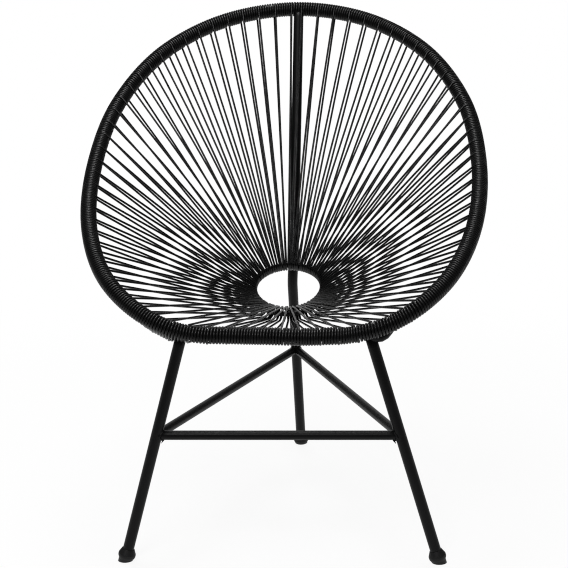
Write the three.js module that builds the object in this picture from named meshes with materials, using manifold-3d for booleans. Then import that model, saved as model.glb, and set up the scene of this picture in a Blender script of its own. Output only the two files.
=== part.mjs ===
import * as THREE from 'three';
import { mergeVertices } from 'three/addons/utils/BufferGeometryUtils.js';
import Module from 'manifold-3d';

const wasm = await Module();
wasm.setup();

// A round lounge chair on three legs. A raked, closed rim of bent tube is wound with cord
// from end to end, and the same cord is strung to a small ring in the middle, down in front of
// it and back up behind it, so that two layers of taut strands make the bowl of the seat.
// Millimetres, +Z up, the front towards -Y, +X to the right for someone who faces the chair.

// Rim
const seatWidth = 720;
const seatDepth = 720;
const rimFrontHeight = 411.5;
const rimTopHeight = 879;
const rimTubeDiameter = 19;

// Cord and its windings
const cordDiameter = 4.2;
const stationCount = 80;
const sectorCount = 16;
// How deep a strand's line lies in the winding that it leaves, as a share of the cord: its own
// turn carries it, and it slants over the turns beside it
const strandSinkShare = 0.8;

// Ring in the middle of the seat
const hubRadius = 68.5;
const hubRodDiameter = 10;
const hubSetback = 362;
const hubHeight = 399;
const hubTilt = 27;

// Front rail, a second tube close behind the rim that takes the front legs
const railTubeDiameter = 19;
const railHalfLength = 204;
const railCornerReach = 170;
const railStraightReach = 130;
const railMiddleDrop = 10;
const railCornerDrop = 50;
const railEndDrop = 5;

// Front legs
const legTubeDiameter = 19;
const tubeWall = 1.5;
const frontFootSpread = 538;
const frontFootSetback = 40;
const frontLegTopSpread = 304;
// How far short of the rail's middle a front leg's end is cut, as a share of the rail's radius
const legSeatShare = 0.5;

// Rear leg, which bends behind the seat and runs on up to the rim
const rearFootSetback = 655;
const rearBendBehindHub = 34.5;
const rearBendHeight = 410;
const rearBendRadius = 80;

// Brace between the legs
const braceHeight = 231;
const crossbarDiameter = 16;
const stretcherDiameter = 15.5;
const gussetSize = 9;
const gussetThickness = 4;

// Foot caps
const capCollarDiameter = 30;
const capSoleDiameter = 25;
const capMouthDiameter = 22.5;
const capHeight = 24;
const capCollarHeight = 14;
const capCollarBand = 4;
const capSoleHeight = 4;
const capFloor = 8;

// Clearances and fineness
const fitGap = 0.3;
const cutOverrun = 20;
const weldTolerance = 0.0001;
const legSides = 16;
const tubeSides = 10;
const ringSides = 8;
const windingSides = 8;
const strandSides = 4;
const hubSteps = 32;
const bendSteps = 5;

// Half outline of the rim from the front middle to the top middle:
// across as a share of the half width, back as a share of the depth, up as a share of the rise
const rimOutlineShares = [
  [0, 0, 0],
  [0.206, 0.001, -0.001],
  [0.369, 0, 0.004],
  [0.52, 0.002, 0.033],
  [0.675, 0.028, 0.088],
  [0.832, 0.102, 0.172],
  [0.958, 0.259, 0.302],
  [0.999, 0.484, 0.483],
  [0.928, 0.692, 0.678],
  [0.719, 0.853, 0.85],
  [0.395, 0.959, 0.961],
  [0, 1, 1],
];

// How far the strands have come round one side of the rim: the share of that side's strands,
// and the share of its length. They are closest at the front corners, and at the top the last
// ones stand close to the spine, so their even spacing ends past the middle.
const stringingShares = [
  [0, 0],
  [0.165, 0.1603],
  [0.3525, 0.319],
  [1, 1.005],
];

// Worked out from the sizes above
const windingRadius = rimTubeDiameter / 2 + fitGap + cordDiameter;
const rearBendSetback = hubSetback + hubRadius + rearBendBehindHub;
const rimHalfWidth = seatWidth / 2 - windingRadius;
const rimRise = rimTopHeight - rimFrontHeight;
const rimFrontY = -seatDepth / 2;
const seatRake = Math.atan2(rimRise, seatDepth);
const seatNormal = new THREE.Vector3(0, -Math.sin(seatRake), Math.cos(seatRake));

// Skins, solids and cuts

// A closed skin through rings of points that turn with the right hand about the run, with inner
// rings where the piece is hollow. A loop joins its last ring to its first and has no ends.
function skin(outer, inner, isLoop) {
  const ringSize = outer[0].length;
  const rings = inner ? [...outer, ...inner] : outer;
  const positions = rings.flat().flatMap((point) => point.toArray());
  const indices = [];
  const at = (ring, point) => ring * ringSize + (point % ringSize);
  const quad = (a, b, c, d) => indices.push(a, b, c, a, c, d);
  const spans = isLoop ? outer.length : outer.length - 1;
  for (let ring = 0; ring < spans; ring += 1) {
    const next = (ring + 1) % outer.length;
    for (let point = 0; point < ringSize; point += 1) {
      quad(at(ring, point), at(ring, point + 1), at(next, point + 1), at(next, point));
      if (inner) {
        const near = outer.length + ring;
        const far = outer.length + next;
        quad(at(near, point + 1), at(near, point), at(far, point), at(far, point + 1));
      }
    }
  }
  const last = outer.length - 1;
  for (let point = 0; point < ringSize && !isLoop; point += 1) {
    if (inner) {
      const innerLast = outer.length + last;
      const innerFirst = outer.length;
      quad(at(0, point + 1), at(0, point), at(innerFirst, point), at(innerFirst, point + 1));
      quad(at(last, point), at(last, point + 1), at(innerLast, point + 1), at(innerLast, point));
    } else if (point > 0 && point < ringSize - 1) {
      indices.push(at(0, 0), at(0, point + 1), at(0, point));
      indices.push(at(last, 0), at(last, point), at(last, point + 1));
    }
  }
  const geometry = new THREE.BufferGeometry();
  geometry.setAttribute('position', new THREE.Float32BufferAttribute(positions, 3));
  geometry.setIndex(indices);
  return geometry;
}

// The solid inside a closed skin: seams merged, and faces that the merge flattened dropped
function solidOf(geometry) {
  const bare = geometry.clone();
  bare.deleteAttribute('normal');
  bare.deleteAttribute('uv');
  const merged = mergeVertices(bare, weldTolerance);
  const corners = merged.index.array;
  const kept = [];
  for (let face = 0; face < corners.length; face += 3) {
    const [a, b, c] = corners.slice(face, face + 3);
    if (a !== b && b !== c && c !== a) kept.push(a, b, c);
  }
  return new wasm.Manifold(new wasm.Mesh({
    numProp: 3,
    vertProperties: new Float32Array(merged.attributes.position.array),
    triVerts: new Uint32Array(kept),
  }));
}

function geometryOf(solid) {
  const mesh = solid.getMesh();
  const geometry = new THREE.BufferGeometry();
  geometry.setAttribute('position', new THREE.Float32BufferAttribute(mesh.vertProperties, 3));
  geometry.setIndex(Array.from(mesh.triVerts));
  geometry.computeVertexNormals();
  return geometry;
}

function cut(solid, ...cutters) {
  return cutters.reduce((rest, cutter) => rest.subtract(cutter), solid);
}

// A ring of points about a centre, square to the run, starting at the side direction
function ringAt(centre, run, side, radius, count, reach = null) {
  const across = new THREE.Vector3().crossVectors(run, side);
  const points = [];
  for (let step = 0; step < count; step += 1) {
    const turn = ((step + 0.5) / count) * 2 * Math.PI;
    const spoke = side.clone().multiplyScalar(Math.cos(turn));
    spoke.addScaledVector(across, Math.sin(turn));
    const point = centre.clone().addScaledVector(spoke, radius);
    if (reach && spoke.dot(reach) > 0) point.add(reach);
    points.push(point);
  }
  return points;
}

// A direction square to a run and as near as can be to a guide
function squareTo(run, guide) {
  return guide.clone().addScaledVector(run, -guide.dot(run)).normalize();
}

// A straight round bar or tube from one point to another
function barBetween(start, end, outerRadius, innerRadius, sides) {
  const run = end.clone().sub(start).normalize();
  const side = squareTo(run, Math.abs(run.x) < 0.9 ? new THREE.Vector3(1, 0, 0) : seatNormal);
  const rings = (radius) => [start, end].map((point) => ringAt(point, run, side, radius, sides));
  return skin(rings(outerRadius), innerRadius ? rings(innerRadius) : null, false);
}

// A bent bar or tube through points, whose bends all lie in the plane square to the guide
function bentBar(points, outerRadius, innerRadius, guide, sides) {
  const runs = points.map((point, index) => {
    const before = points[Math.max(index - 1, 0)];
    const after = points[Math.min(index + 1, points.length - 1)];
    return after.clone().sub(before).normalize();
  });
  const rings = (radius) => points.map((point, index) => {
    return ringAt(point, runs[index], squareTo(runs[index], guide), radius, sides);
  });
  return skin(rings(outerRadius), innerRadius ? rings(innerRadius) : null, false);
}

// The rim's centre line, and the places on it by share of its length from the front middle

function rimCurve() {
  const half = rimOutlineShares.map(([across, back, up]) => new THREE.Vector3(
    across * rimHalfWidth,
    rimFrontY + back * seatDepth,
    rimFrontHeight + up * rimRise,
  ));
  const mirrored = half.slice(1, -1).reverse();
  const left = mirrored.map((point) => new THREE.Vector3(-point.x, point.y, point.z));
  const curve = new THREE.CatmullRomCurve3([...half, ...left], true, 'centripetal');
  curve.arcLengthDivisions = 1200;
  return curve;
}

const rimLine = rimCurve();
const hubCentre = new THREE.Vector3(0, rimFrontY + hubSetback, hubHeight);

// A place on the rim: its centre, its run, and the side that points away from the bowl
function rimPlace(share) {
  const wrapped = ((share % 1) + 1) % 1;
  const centre = rimLine.getPointAt(wrapped);
  const run = rimLine.getTangentAt(wrapped);
  const side = squareTo(run, centre.clone().sub(hubCentre));
  return { centre, run, side };
}

// Stations: where each pair of strands leaves the rim and turns round the ring in the middle
function stationShare(station) {
  const even = (station + 0.5) / stationCount;
  const round = Math.round(even);
  const strung = Math.abs(even - round) * 2;
  const next = stringingShares.findIndex(([share]) => share >= strung);
  const [from, to] = [stringingShares[next - 1], stringingShares[next]];
  const reach = from[1] + ((to[1] - from[1]) * (strung - from[0])) / (to[0] - from[0]);
  return round + (Math.sign(even - round) * reach) / 2;
}

// Halfway between a station and the one before it
function boundaryShare(station) {
  return (stationShare(station - 1) + stationShare(station)) / 2;
}

function easeBetween(from, to, share) {
  const held = THREE.MathUtils.clamp(share, 0, 1);
  return from + (to - from) * held * held * (3 - 2 * held);
}

// From the rim's centre to the rail's: straight back in the middle, lower at the corners
const railReach = rimTubeDiameter / 2 + railTubeDiameter / 2 + fitGap;

function railOffset(place) {
  const across = Math.abs(place.centre.x);
  const toCorner = (across - railStraightReach) / (railCornerReach - railStraightReach);
  const toEnd = (across - railCornerReach) / (railHalfLength - railCornerReach);
  const cornerDrop = easeBetween(railMiddleDrop, railCornerDrop, toCorner);
  const drop = THREE.MathUtils.degToRad(easeBetween(cornerDrop, railEndDrop, toEnd));
  const guide = new THREE.Vector3(0, Math.cos(drop), -Math.sin(drop));
  return squareTo(place.run, guide).multiplyScalar(railReach);
}

// The share of the rim's length at which the front half of it is so far across
function shareAtReach(reach) {
  let low = 0;
  let high = 0.25;
  for (let round = 0; round < 40; round += 1) {
    const middle = (low + high) / 2;
    if (rimLine.getPointAt(middle).x < reach) low = middle;
    else high = middle;
  }
  return low;
}

const railEndShare = shareAtReach(railHalfLength);
const windingTaperShare = railTubeDiameter / rimLine.getLength();

// How far the winding stretches to take in the rail: all the way, tapering past its ends
function windingReach(share) {
  const fromFront = Math.abs(share - Math.round(share));
  const past = (fromFront - railEndShare - windingTaperShare / 4) / windingTaperShare;
  const hold = easeBetween(1, 0, past);
  if (hold === 0) return null;
  return railOffset(rimPlace(share)).multiplyScalar(hold);
}

const hubTiltTurn = THREE.MathUtils.degToRad(hubTilt);
const hubAcross = new THREE.Vector3(1, 0, 0);
const hubBack = new THREE.Vector3(0, Math.cos(hubTiltTurn), Math.sin(hubTiltTurn));

function hubPlace(turnShare) {
  const turn = turnShare * 2 * Math.PI - Math.PI / 2;
  const side = hubAcross.clone().multiplyScalar(Math.cos(turn));
  side.addScaledVector(hubBack, Math.sin(turn));
  const run = hubAcross.clone().multiplyScalar(-Math.sin(turn));
  run.addScaledVector(hubBack, Math.cos(turn));
  return { centre: hubCentre.clone().addScaledVector(side, hubRadius), run, side };
}

// Pieces of the frame

function rimBar(radius) {
  const rings = [];
  for (let station = 0; station < stationCount; station += 1) {
    const { centre, run, side } = rimPlace(boundaryShare(station));
    rings.push(ringAt(centre, run, side, radius, ringSides));
  }
  return skin(rings, null, true);
}

// The rail bends where the rim does, at the boundaries between stations
function railPoints() {
  const shares = [-railEndShare, railEndShare];
  for (let station = 0; boundaryShare(station) < railEndShare - windingTaperShare / 2; station += 1) {
    shares.push(boundaryShare(station));
    if (station > 0) shares.push(-boundaryShare(station));
  }
  return shares.sort((a, b) => a - b).map((share) => {
    const place = rimPlace(share);
    return place.centre.clone().add(railOffset(place));
  });
}

const rimRadius = rimTubeDiameter / 2;
const railRadius = railTubeDiameter / 2;
const legRadius = legTubeDiameter / 2;
const crossbarRadius = crossbarDiameter / 2;
const stretcherRadius = stretcherDiameter / 2;
const right = new THREE.Vector3(1, 0, 0);

const railLine = railPoints();

// Where the rail's centre is so far across
function railPointAt(across) {
  const next = railLine.findIndex((point) => point.x >= across);
  const [a, b] = [railLine[next - 1], railLine[next]];
  return a.clone().lerp(b, (across - a.x) / (b.x - a.x));
}

// The radius of a faceted cutter whose flats clear a round bar by the fit gap
function clearRadius(radius, sides) {
  return (radius + fitGap) / Math.cos(Math.PI / sides);
}

const rimCutter = solidOf(rimBar(clearRadius(rimRadius, ringSides)));
const railCutter = solidOf(
  bentBar(railLine, clearRadius(railRadius, tubeSides), 0, seatNormal, tubeSides),
);

// The rail lies along the rim and is relieved wherever it would touch it
function frontRail() {
  const tube = bentBar(railLine, railRadius, 0, seatNormal, tubeSides);
  return geometryOf(cut(solidOf(tube), rimCutter));
}

function frontLegLine(sign) {
  const top = railPointAt(frontLegTopSpread / 2).clone();
  top.x *= sign;
  const foot = new THREE.Vector3(sign * frontFootSpread / 2, rimFrontY + frontFootSetback, 0);
  return { foot, top };
}

// The rear leg's centre line: foot, bend behind the seat, and up to the top of the rim
function rearLegPoints() {
  const foot = new THREE.Vector3(0, rimFrontY + rearFootSetback, 0);
  const corner = new THREE.Vector3(0, rimFrontY + rearBendSetback, rearBendHeight);
  const top = new THREE.Vector3(0, rimFrontY + seatDepth, rimTopHeight);
  const down = foot.clone().sub(corner).normalize();
  const up = top.clone().sub(corner).normalize();
  const halfAngle = down.angleTo(up) / 2;
  const setback = rearBendRadius / Math.tan(halfAngle);
  const start = corner.clone().addScaledVector(down, setback);
  const inwards = down.clone().add(up).normalize();
  const centre = corner.clone().addScaledVector(inwards, rearBendRadius / Math.sin(halfAngle));
  const sweep = Math.PI - 2 * halfAngle;
  const spoke = start.clone().sub(centre);
  const bend = [];
  for (let step = 0; step <= bendSteps; step += 1) {
    const turned = spoke.clone().applyAxisAngle(right, -sweep * (step / bendSteps));
    bend.push(centre.clone().add(turned));
  }
  return { foot, top, points: [foot, ...bend, top] };
}

const rearLine = rearLegPoints();

// A leg stops inside its cap, short of the floor
function legEndAbove(foot, towards) {
  const run = towards.clone().sub(foot).normalize();
  return foot.clone().addScaledVector(run, capFloor);
}

function legCutter(foot, top) {
  return solidOf(barBetween(foot, top, clearRadius(legRadius, legSides), 0, legSides));
}

function frontLeg(sign) {
  const { foot, top } = frontLegLine(sign);
  const start = legEndAbove(foot, top);
  const run = top.clone().sub(foot).normalize();
  const end = top.clone().addScaledVector(run, -legSeatShare * railRadius);
  const tube = barBetween(start, end, legRadius, legRadius - tubeWall, legSides);
  return geometryOf(cut(solidOf(tube), railCutter));
}

function rearLeg() {
  const { foot, points } = rearLine;
  const run = [legEndAbove(foot, points[1]), ...points.slice(1)];
  const tube = bentBar(run, legRadius, legRadius - tubeWall, right, legSides);
  return geometryOf(cut(solidOf(tube), rimCutter));
}

const rearCutter = solidOf(
  bentBar(rearLine.points, clearRadius(legRadius, legSides), 0, right, legSides),
);
const legCutters = [-1, 1].map((sign) => {
  const { foot, top } = frontLegLine(sign);
  return legCutter(foot, top);
});

function pointAtHeight(foot, top, height) {
  return foot.clone().lerp(top, (height - foot.z) / (top.z - foot.z));
}

const braceCorners = [-1, 1].map((sign) => {
  const { foot, top } = frontLegLine(sign);
  return pointAtHeight(foot, top, braceHeight);
});

function crossbarBetween(radius, innerRadius) {
  return barBetween(braceCorners[0], braceCorners[1], radius, innerRadius, legSides);
}

function frontCrossbar() {
  const tube = crossbarBetween(crossbarRadius, crossbarRadius - tubeWall);
  return geometryOf(cut(solidOf(tube), ...legCutters));
}

const crossbarCutter = solidOf(crossbarBetween(clearRadius(crossbarRadius, legSides), 0));

// A block that takes away all that lies past the middle plane, less half a gap
function pastMiddle(sign) {
  const block = new THREE.BoxGeometry(seatWidth, 2 * seatDepth, 2 * rimTopHeight);
  block.translate(-sign * (seatWidth / 2 - fitGap / 2), 0, 0);
  return solidOf(block);
}

function stretcher(sign) {
  const corner = braceCorners[sign > 0 ? 1 : 0];
  const rear = pointAtHeight(rearLine.foot, rearLine.points[1], braceHeight);
  const tube = barBetween(corner, rear, stretcherRadius, stretcherRadius - tubeWall, legSides);
  return geometryOf(cut(solidOf(tube), ...legCutters, crossbarCutter, rearCutter, pastMiddle(sign)));
}

// A small plate in the corner under the crossbar, against the leg
function gusset(sign) {
  const corner = braceCorners[sign > 0 ? 1 : 0];
  const outline = new THREE.Shape();
  outline.moveTo(0, 0);
  outline.lineTo(-legTubeDiameter, 0);
  outline.lineTo(0, -crossbarDiameter - gussetSize / 2);
  outline.closePath();
  const plate = new THREE.ExtrudeGeometry(outline, { depth: gussetThickness, bevelEnabled: false });
  plate.rotateX(Math.PI / 2);
  plate.translate(0, gussetThickness / 2, 0);
  if (sign < 0) plate.rotateZ(Math.PI);
  plate.translate(corner.x, corner.y, corner.z);
  return geometryOf(cut(solidOf(plate), ...legCutters, crossbarCutter));
}

// A moulded cap: a flat sole, a collar that swells and draws in again, and the leg's socket
function footCap(foot, towards) {
  const soleRadius = capSoleDiameter / 2;
  const collarRadius = capCollarDiameter / 2;
  const socketRadius = legRadius + fitGap;
  const profile = [
    [0, -capSoleHeight],
    [soleRadius, -capSoleHeight],
    [soleRadius, capSoleHeight],
    [collarRadius, capCollarHeight - capCollarBand],
    [collarRadius, capCollarHeight],
    [capMouthDiameter / 2, capHeight],
    [socketRadius, capHeight],
    [socketRadius, capFloor - fitGap],
    [0, capFloor - fitGap],
  ].map(([radius, height]) => new THREE.Vector2(radius, height));
  const cap = new THREE.LatheGeometry(profile, legSides);
  cap.rotateX(Math.PI / 2);
  const run = towards.clone().sub(foot).normalize();
  cap.applyQuaternion(new THREE.Quaternion().setFromUnitVectors(new THREE.Vector3(0, 0, 1), run));
  cap.translate(foot.x, foot.y, foot.z);
  const ground = new THREE.BoxGeometry(2 * seatWidth, 2 * seatDepth, capHeight + cutOverrun);
  ground.translate(0, 0, -(capHeight + cutOverrun) / 2);
  return geometryOf(cut(solidOf(cap), solidOf(ground)));
}

function hubBar(radius) {
  const rings = [];
  for (let step = 0; step < hubSteps; step += 1) {
    const { centre, run, side } = hubPlace(step / hubSteps);
    rings.push(ringAt(centre, run, side, radius, ringSides));
  }
  return skin(rings, null, true);
}

const hubCutter = solidOf(hubBar(clearRadius(hubRodDiameter / 2, ringSides)));

// Pieces of the strung cord

// The winding round the rim, and round the rail too where there is one, between two boundaries
function rimWinding(first, last) {
  const end = fitGap / 2 / rimLine.getLength();
  const rings = [];
  for (let station = first; station <= last; station += 1) {
    const inwards = (station === first ? end : 0) - (station === last ? end : 0);
    const share = boundaryShare(station) + inwards;
    const { centre, run, side } = rimPlace(share);
    rings.push(ringAt(centre, run, side, windingRadius, windingSides, windingReach(share)));
  }
  return solidOf(skin(rings, null, false));
}

const hubWindingRadius = hubRodDiameter / 2 + fitGap + cordDiameter;

// The turns round the ring in the middle, side by side, short of both boundaries by a gap
function hubWinding(first, last, radius, endGap) {
  const end = endGap / (2 * Math.PI * hubRadius);
  const steps = hubSteps / sectorCount;
  const rings = [];
  for (let step = 0; step <= steps; step += 1) {
    const inwards = (step === 0 ? end : 0) - (step === steps ? end : 0);
    const share = (first + ((last - first) * step) / steps) / stationCount + inwards;
    const { centre, run, side } = hubPlace(share);
    rings.push(ringAt(centre, run, side, radius, windingSides));
  }
  return solidOf(skin(rings, null, false));
}

// What keeps a sector's slanting strands clear of the turns of the sectors beside it
function besideCutters(first, perSector) {
  const radius = hubWindingRadius + fitGap;
  return [first - perSector, first + perSector].map((start) => {
    return hubWinding(start, start + perSector, radius, 0);
  });
}

// How far from the middle of a winding a strand's line runs
function strandLift(outerRadius) {
  return outerRadius - strandSinkShare * cordDiameter;
}

// One taut strand on the sitter's side (layer 1) or behind it (layer -1), from the side of the
// wound tube to the side of the wound rod
function strand(station, layer) {
  const rim = rimPlace(stationShare(station));
  const hub = hubPlace((station + 0.5) / stationCount);
  const reach = windingReach(stationShare(station));
  const run = hub.centre.clone().sub(rim.centre).normalize();
  const liftBy = (along, outerRadius) => {
    const square = new THREE.Vector3().crossVectors(run, along).normalize();
    const lift = strandLift(outerRadius) * layer;
    return square.multiplyScalar(Math.sign(square.dot(seatNormal)) * lift);
  };
  const rimLift = liftBy(rim.run, windingRadius);
  const start = rim.centre.clone().add(rimLift);
  if (reach && reach.dot(rimLift) > 0) start.add(reach);
  const end = hub.centre.clone().add(liftBy(hub.run, hubWindingRadius));
  return solidOf(barBetween(start, end, cordDiameter / 2, 0, strandSides));
}

// A sector of the seat: its share of both windings, and the strands between them
function seatSector(sector) {
  const perSector = stationCount / sectorCount;
  const first = sector * perSector;
  const last = first + perSector;
  const pieces = [rimWinding(first, last)];
  pieces.push(hubWinding(first, last, hubWindingRadius, fitGap / 2));
  for (let station = first; station < last; station += 1) {
    pieces.push(strand(station, 1), strand(station, -1));
  }
  const joined = pieces.reduce((whole, piece) => whole.add(piece));
  const beside = besideCutters(first, perSector);
  return geometryOf(cut(joined, rimCutter, railCutter, hubCutter, rearCutter, ...legCutters, ...beside));
}

// Materials

const blackEnamel = () => new THREE.MeshStandardMaterial({
  color: 0x1b1b1d,
  roughness: 0.42,
  metalness: 0.15,
});

const blackCord = () => new THREE.MeshStandardMaterial({
  color: 0x141415,
  roughness: 0.38,
  metalness: 0,
});

const blackRubber = () => new THREE.MeshStandardMaterial({
  color: 0x101011,
  roughness: 0.7,
  metalness: 0,
});

// The chair

const chair = new THREE.Group();

function addPiece(name, geometry, material) {
  const mesh = new THREE.Mesh(geometry, material);
  mesh.name = name;
  chair.add(mesh);
}

addPiece('rim_tube', rimBar(rimRadius), blackEnamel());
addPiece('front_rail', frontRail(), blackEnamel());
addPiece('rear_leg', rearLeg(), blackEnamel());
addPiece('front_crossbar', frontCrossbar(), blackEnamel());
addPiece('hub_ring', hubBar(hubRodDiameter / 2), blackEnamel());

for (const [word, sign] of [['left', -1], ['right', 1]]) {
  const { foot, top } = frontLegLine(sign);
  addPiece(`front_leg_${word}`, frontLeg(sign), blackEnamel());
  addPiece(`stretcher_${word}`, stretcher(sign), blackEnamel());
  addPiece(`gusset_${word}`, gusset(sign), blackEnamel());
  addPiece(`foot_cap_${word}`, footCap(foot, top), blackRubber());
}
addPiece('foot_cap_rear', footCap(rearLine.foot, rearLine.points[1]), blackRubber());

for (let sector = 0; sector < sectorCount; sector += 1) {
  const number = String(sector + 1).padStart(2, '0');
  addPiece(`seat_cord_${number}`, seatSector(sector), blackCord());
}

export default chair;
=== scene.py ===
# %% [markdown]
# # A round lounge chair, strung with cord
#
# The chair is a welded frame of black tube, with one long black plastic cord wound round its rim
# and strung to a small ring in the middle of the seat. The CAD part gives every size and place,
# and this lesson dresses it: the cord is made turn by turn along its real path, the tubes become
# round and get their weld beads, and each surface gets its finish.

import math
import random
from collections import namedtuple

import bmesh
import bpy
import numpy as np
from mathutils import Matrix, Vector


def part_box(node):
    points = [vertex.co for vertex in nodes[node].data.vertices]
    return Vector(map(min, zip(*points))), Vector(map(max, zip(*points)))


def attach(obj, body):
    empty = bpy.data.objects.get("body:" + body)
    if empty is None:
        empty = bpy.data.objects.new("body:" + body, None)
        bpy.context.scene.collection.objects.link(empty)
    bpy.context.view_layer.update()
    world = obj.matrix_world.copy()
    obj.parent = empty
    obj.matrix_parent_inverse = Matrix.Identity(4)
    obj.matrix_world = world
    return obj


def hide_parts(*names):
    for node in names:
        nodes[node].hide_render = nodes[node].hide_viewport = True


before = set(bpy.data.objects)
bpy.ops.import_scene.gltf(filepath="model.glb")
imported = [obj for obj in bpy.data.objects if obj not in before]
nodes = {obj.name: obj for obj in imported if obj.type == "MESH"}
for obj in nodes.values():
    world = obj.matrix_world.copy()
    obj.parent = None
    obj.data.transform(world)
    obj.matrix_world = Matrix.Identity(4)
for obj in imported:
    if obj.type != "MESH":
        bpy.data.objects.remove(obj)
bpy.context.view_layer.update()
print("pieces in the frame:", len(nodes))

# %% [markdown]
# ## Finishes
#
# Everything on the chair is black, so the eye tells the pieces apart only by how they shine. A
# finish is a small tree of shader nodes: noise gives the unevenness of the real surface, a bump
# node turns it into fine relief, and the numbers that are the same all over sit on the shader
# itself. A helper that makes a node and joins it up keeps each recipe short.

# %% Start a finish


def start_finish(name, specular):
    finish = bpy.data.materials.new(name)
    finish.use_nodes = True
    shader = finish.node_tree.nodes["Principled BSDF"]
    shader.inputs["Specular IOR Level"].default_value = specular
    return finish, finish.node_tree, shader


def add_node(tree, kind, settings=(), values=()):
    made = tree.nodes.new(kind)
    for key, value in dict(settings).items():
        setattr(made, key, value)
    for key, value in dict(values).items():
        made.inputs[key].default_value = value
    return made


def map_to(tree, source, low, high):
    """A number between 0 and 1 stretched to run from low to high."""
    spread = add_node(tree, "ShaderNodeMapRange", values={"To Min": low, "To Max": high})
    tree.links.new(source, spread.inputs["Value"])
    return spread.outputs["Result"]


def mix_shades(tree, amount, dark, light):
    blend = add_node(tree, "ShaderNodeMix", {"data_type": "RGBA"})
    blend.inputs["A"].default_value = (*dark, 1)
    blend.inputs["B"].default_value = (*light, 1)
    tree.links.new(amount, blend.inputs["Factor"])
    return blend.outputs["Result"]


def noise(tree, coordinates, scale, detail=2.0):
    grain = add_node(tree, "ShaderNodeTexNoise", values={"Scale": scale, "Detail": detail})
    tree.links.new(coordinates, grain.inputs["Vector"])
    return grain.outputs["Fac"]


def emboss(tree, shader, height, depth, strength):
    relief = add_node(tree, "ShaderNodeBump", values={"Distance": depth, "Strength": strength})
    tree.links.new(height, relief.inputs["Height"])
    tree.links.new(relief.outputs["Normal"], shader.inputs["Normal"])


# %% [markdown]
# ### Black powder coat on the tubes
#
# Powder coat is melted plastic: it flows almost smooth but keeps a fine ripple, like the skin of
# an orange. A noise of about one bump to the millimetre gives that ripple, a broad noise lets the
# gloss drift a little along a tube, and the colour wavers between two blacks.

# %% Powder coat
RIPPLES_PER_METRE = 900
DRIFTS_PER_METRE = 25
COAT_BLACKS = ((0.003, 0.003, 0.0032), (0.0055, 0.0055, 0.0057))
COAT_ROUGHNESS = (0.34, 0.46)


def powder_coat():
    finish, tree, shader = start_finish("black_powder_coat", specular=0.11)
    place = add_node(tree, "ShaderNodeTexCoord").outputs["Object"]
    ripple = noise(tree, place, RIPPLES_PER_METRE, detail=3.0)
    broad = noise(tree, place, DRIFTS_PER_METRE)
    tree.links.new(mix_shades(tree, broad, *COAT_BLACKS), shader.inputs["Base Color"])
    tree.links.new(map_to(tree, broad, *COAT_ROUGHNESS), shader.inputs["Roughness"])
    emboss(tree, shader, ripple, depth=0.0002, strength=0.25)
    return finish


coat_finish = powder_coat()
print("finish made:", coat_finish.name)

# %% [markdown]
# ### Black plastic cord
#
# The cord is drawn plastic. It is smooth, with faint lines along its length from the die, and its
# shine changes a little from metre to metre. Its mesh carries a map whose first number runs along
# the cord and whose second runs round it, so noise that is stretched along the first number gives
# lines that follow the cord wherever it goes.

# %% Plastic cord
LINES_ROUND_CORD = 14
WAVERS_PER_METRE = 6
SCUFFS_PER_METRE = 60
CORD_BLACKS = ((0.0018, 0.0018, 0.0019), (0.004, 0.004, 0.0041))
CORD_ROUGHNESS = (0.3, 0.44)


def plastic_cord():
    finish, tree, shader = start_finish("black_plastic_cord", specular=0.25)
    run = add_node(tree, "ShaderNodeUVMap", {"uv_map": "along_and_round"}).outputs["UV"]
    stretch = add_node(tree, "ShaderNodeMapping")
    stretch.inputs["Scale"].default_value = (WAVERS_PER_METRE, LINES_ROUND_CORD, 1)
    tree.links.new(run, stretch.inputs["Vector"])
    lines = noise(tree, stretch.outputs["Vector"], 1.0, detail=1.0)
    place = add_node(tree, "ShaderNodeTexCoord").outputs["Object"]
    scuffs = noise(tree, place, SCUFFS_PER_METRE, detail=4.0)
    tree.links.new(mix_shades(tree, scuffs, *CORD_BLACKS), shader.inputs["Base Color"])
    tree.links.new(map_to(tree, scuffs, *CORD_ROUGHNESS), shader.inputs["Roughness"])
    emboss(tree, shader, lines, depth=0.0003, strength=0.3)
    return finish


cord_finish = plastic_cord()
print("finish made:", cord_finish.name)

# %% [markdown]
# ### Moulded caps
#
# The feet wear black moulded plastic. A mould leaves a fine, even grain that takes the shine off,
# so a tight noise goes into the relief and the roughness is high.

# %% Moulded plastic
GRAINS_PER_METRE = 2600
PATCHES_PER_METRE = 120
CAP_BLACKS = ((0.005, 0.005, 0.0052), (0.009, 0.009, 0.0093))
CAP_ROUGHNESS = (0.48, 0.6)


def moulded_plastic():
    finish, tree, shader = start_finish("black_moulded_plastic", specular=0.2)
    place = add_node(tree, "ShaderNodeTexCoord").outputs["Object"]
    grain = noise(tree, place, GRAINS_PER_METRE, detail=2.0)
    patches = noise(tree, place, PATCHES_PER_METRE)
    tree.links.new(mix_shades(tree, patches, *CAP_BLACKS), shader.inputs["Base Color"])
    tree.links.new(map_to(tree, patches, *CAP_ROUGHNESS), shader.inputs["Roughness"])
    emboss(tree, shader, grain, depth=0.0001, strength=0.35)
    return finish


cap_finish = moulded_plastic()
print("finish made:", cap_finish.name)

# %% [markdown]
# ### Dress the CAD pieces
#
# The rim's tube, the small ring and the two weld lugs stay as the CAD part has them, and only get
# their finish here. The cord, the legs and the other tubes are made anew further down, rounder and
# finer, and each of those pieces then stands in for the CAD piece of its name. Giving every CAD
# piece a finish first means that none is ever left bare.

# %% Finish for the CAD pieces
for name, piece in nodes.items():
    piece.data.materials.clear()
    if name.startswith("seat_cord"):
        piece.data.materials.append(cord_finish)
    elif name.startswith("foot_cap"):
        piece.data.materials.append(cap_finish)
    else:
        piece.data.materials.append(coat_finish)
print("CAD pieces with a finish:", sum(len(piece.data.materials) > 0 for piece in nodes.values()))

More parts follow.
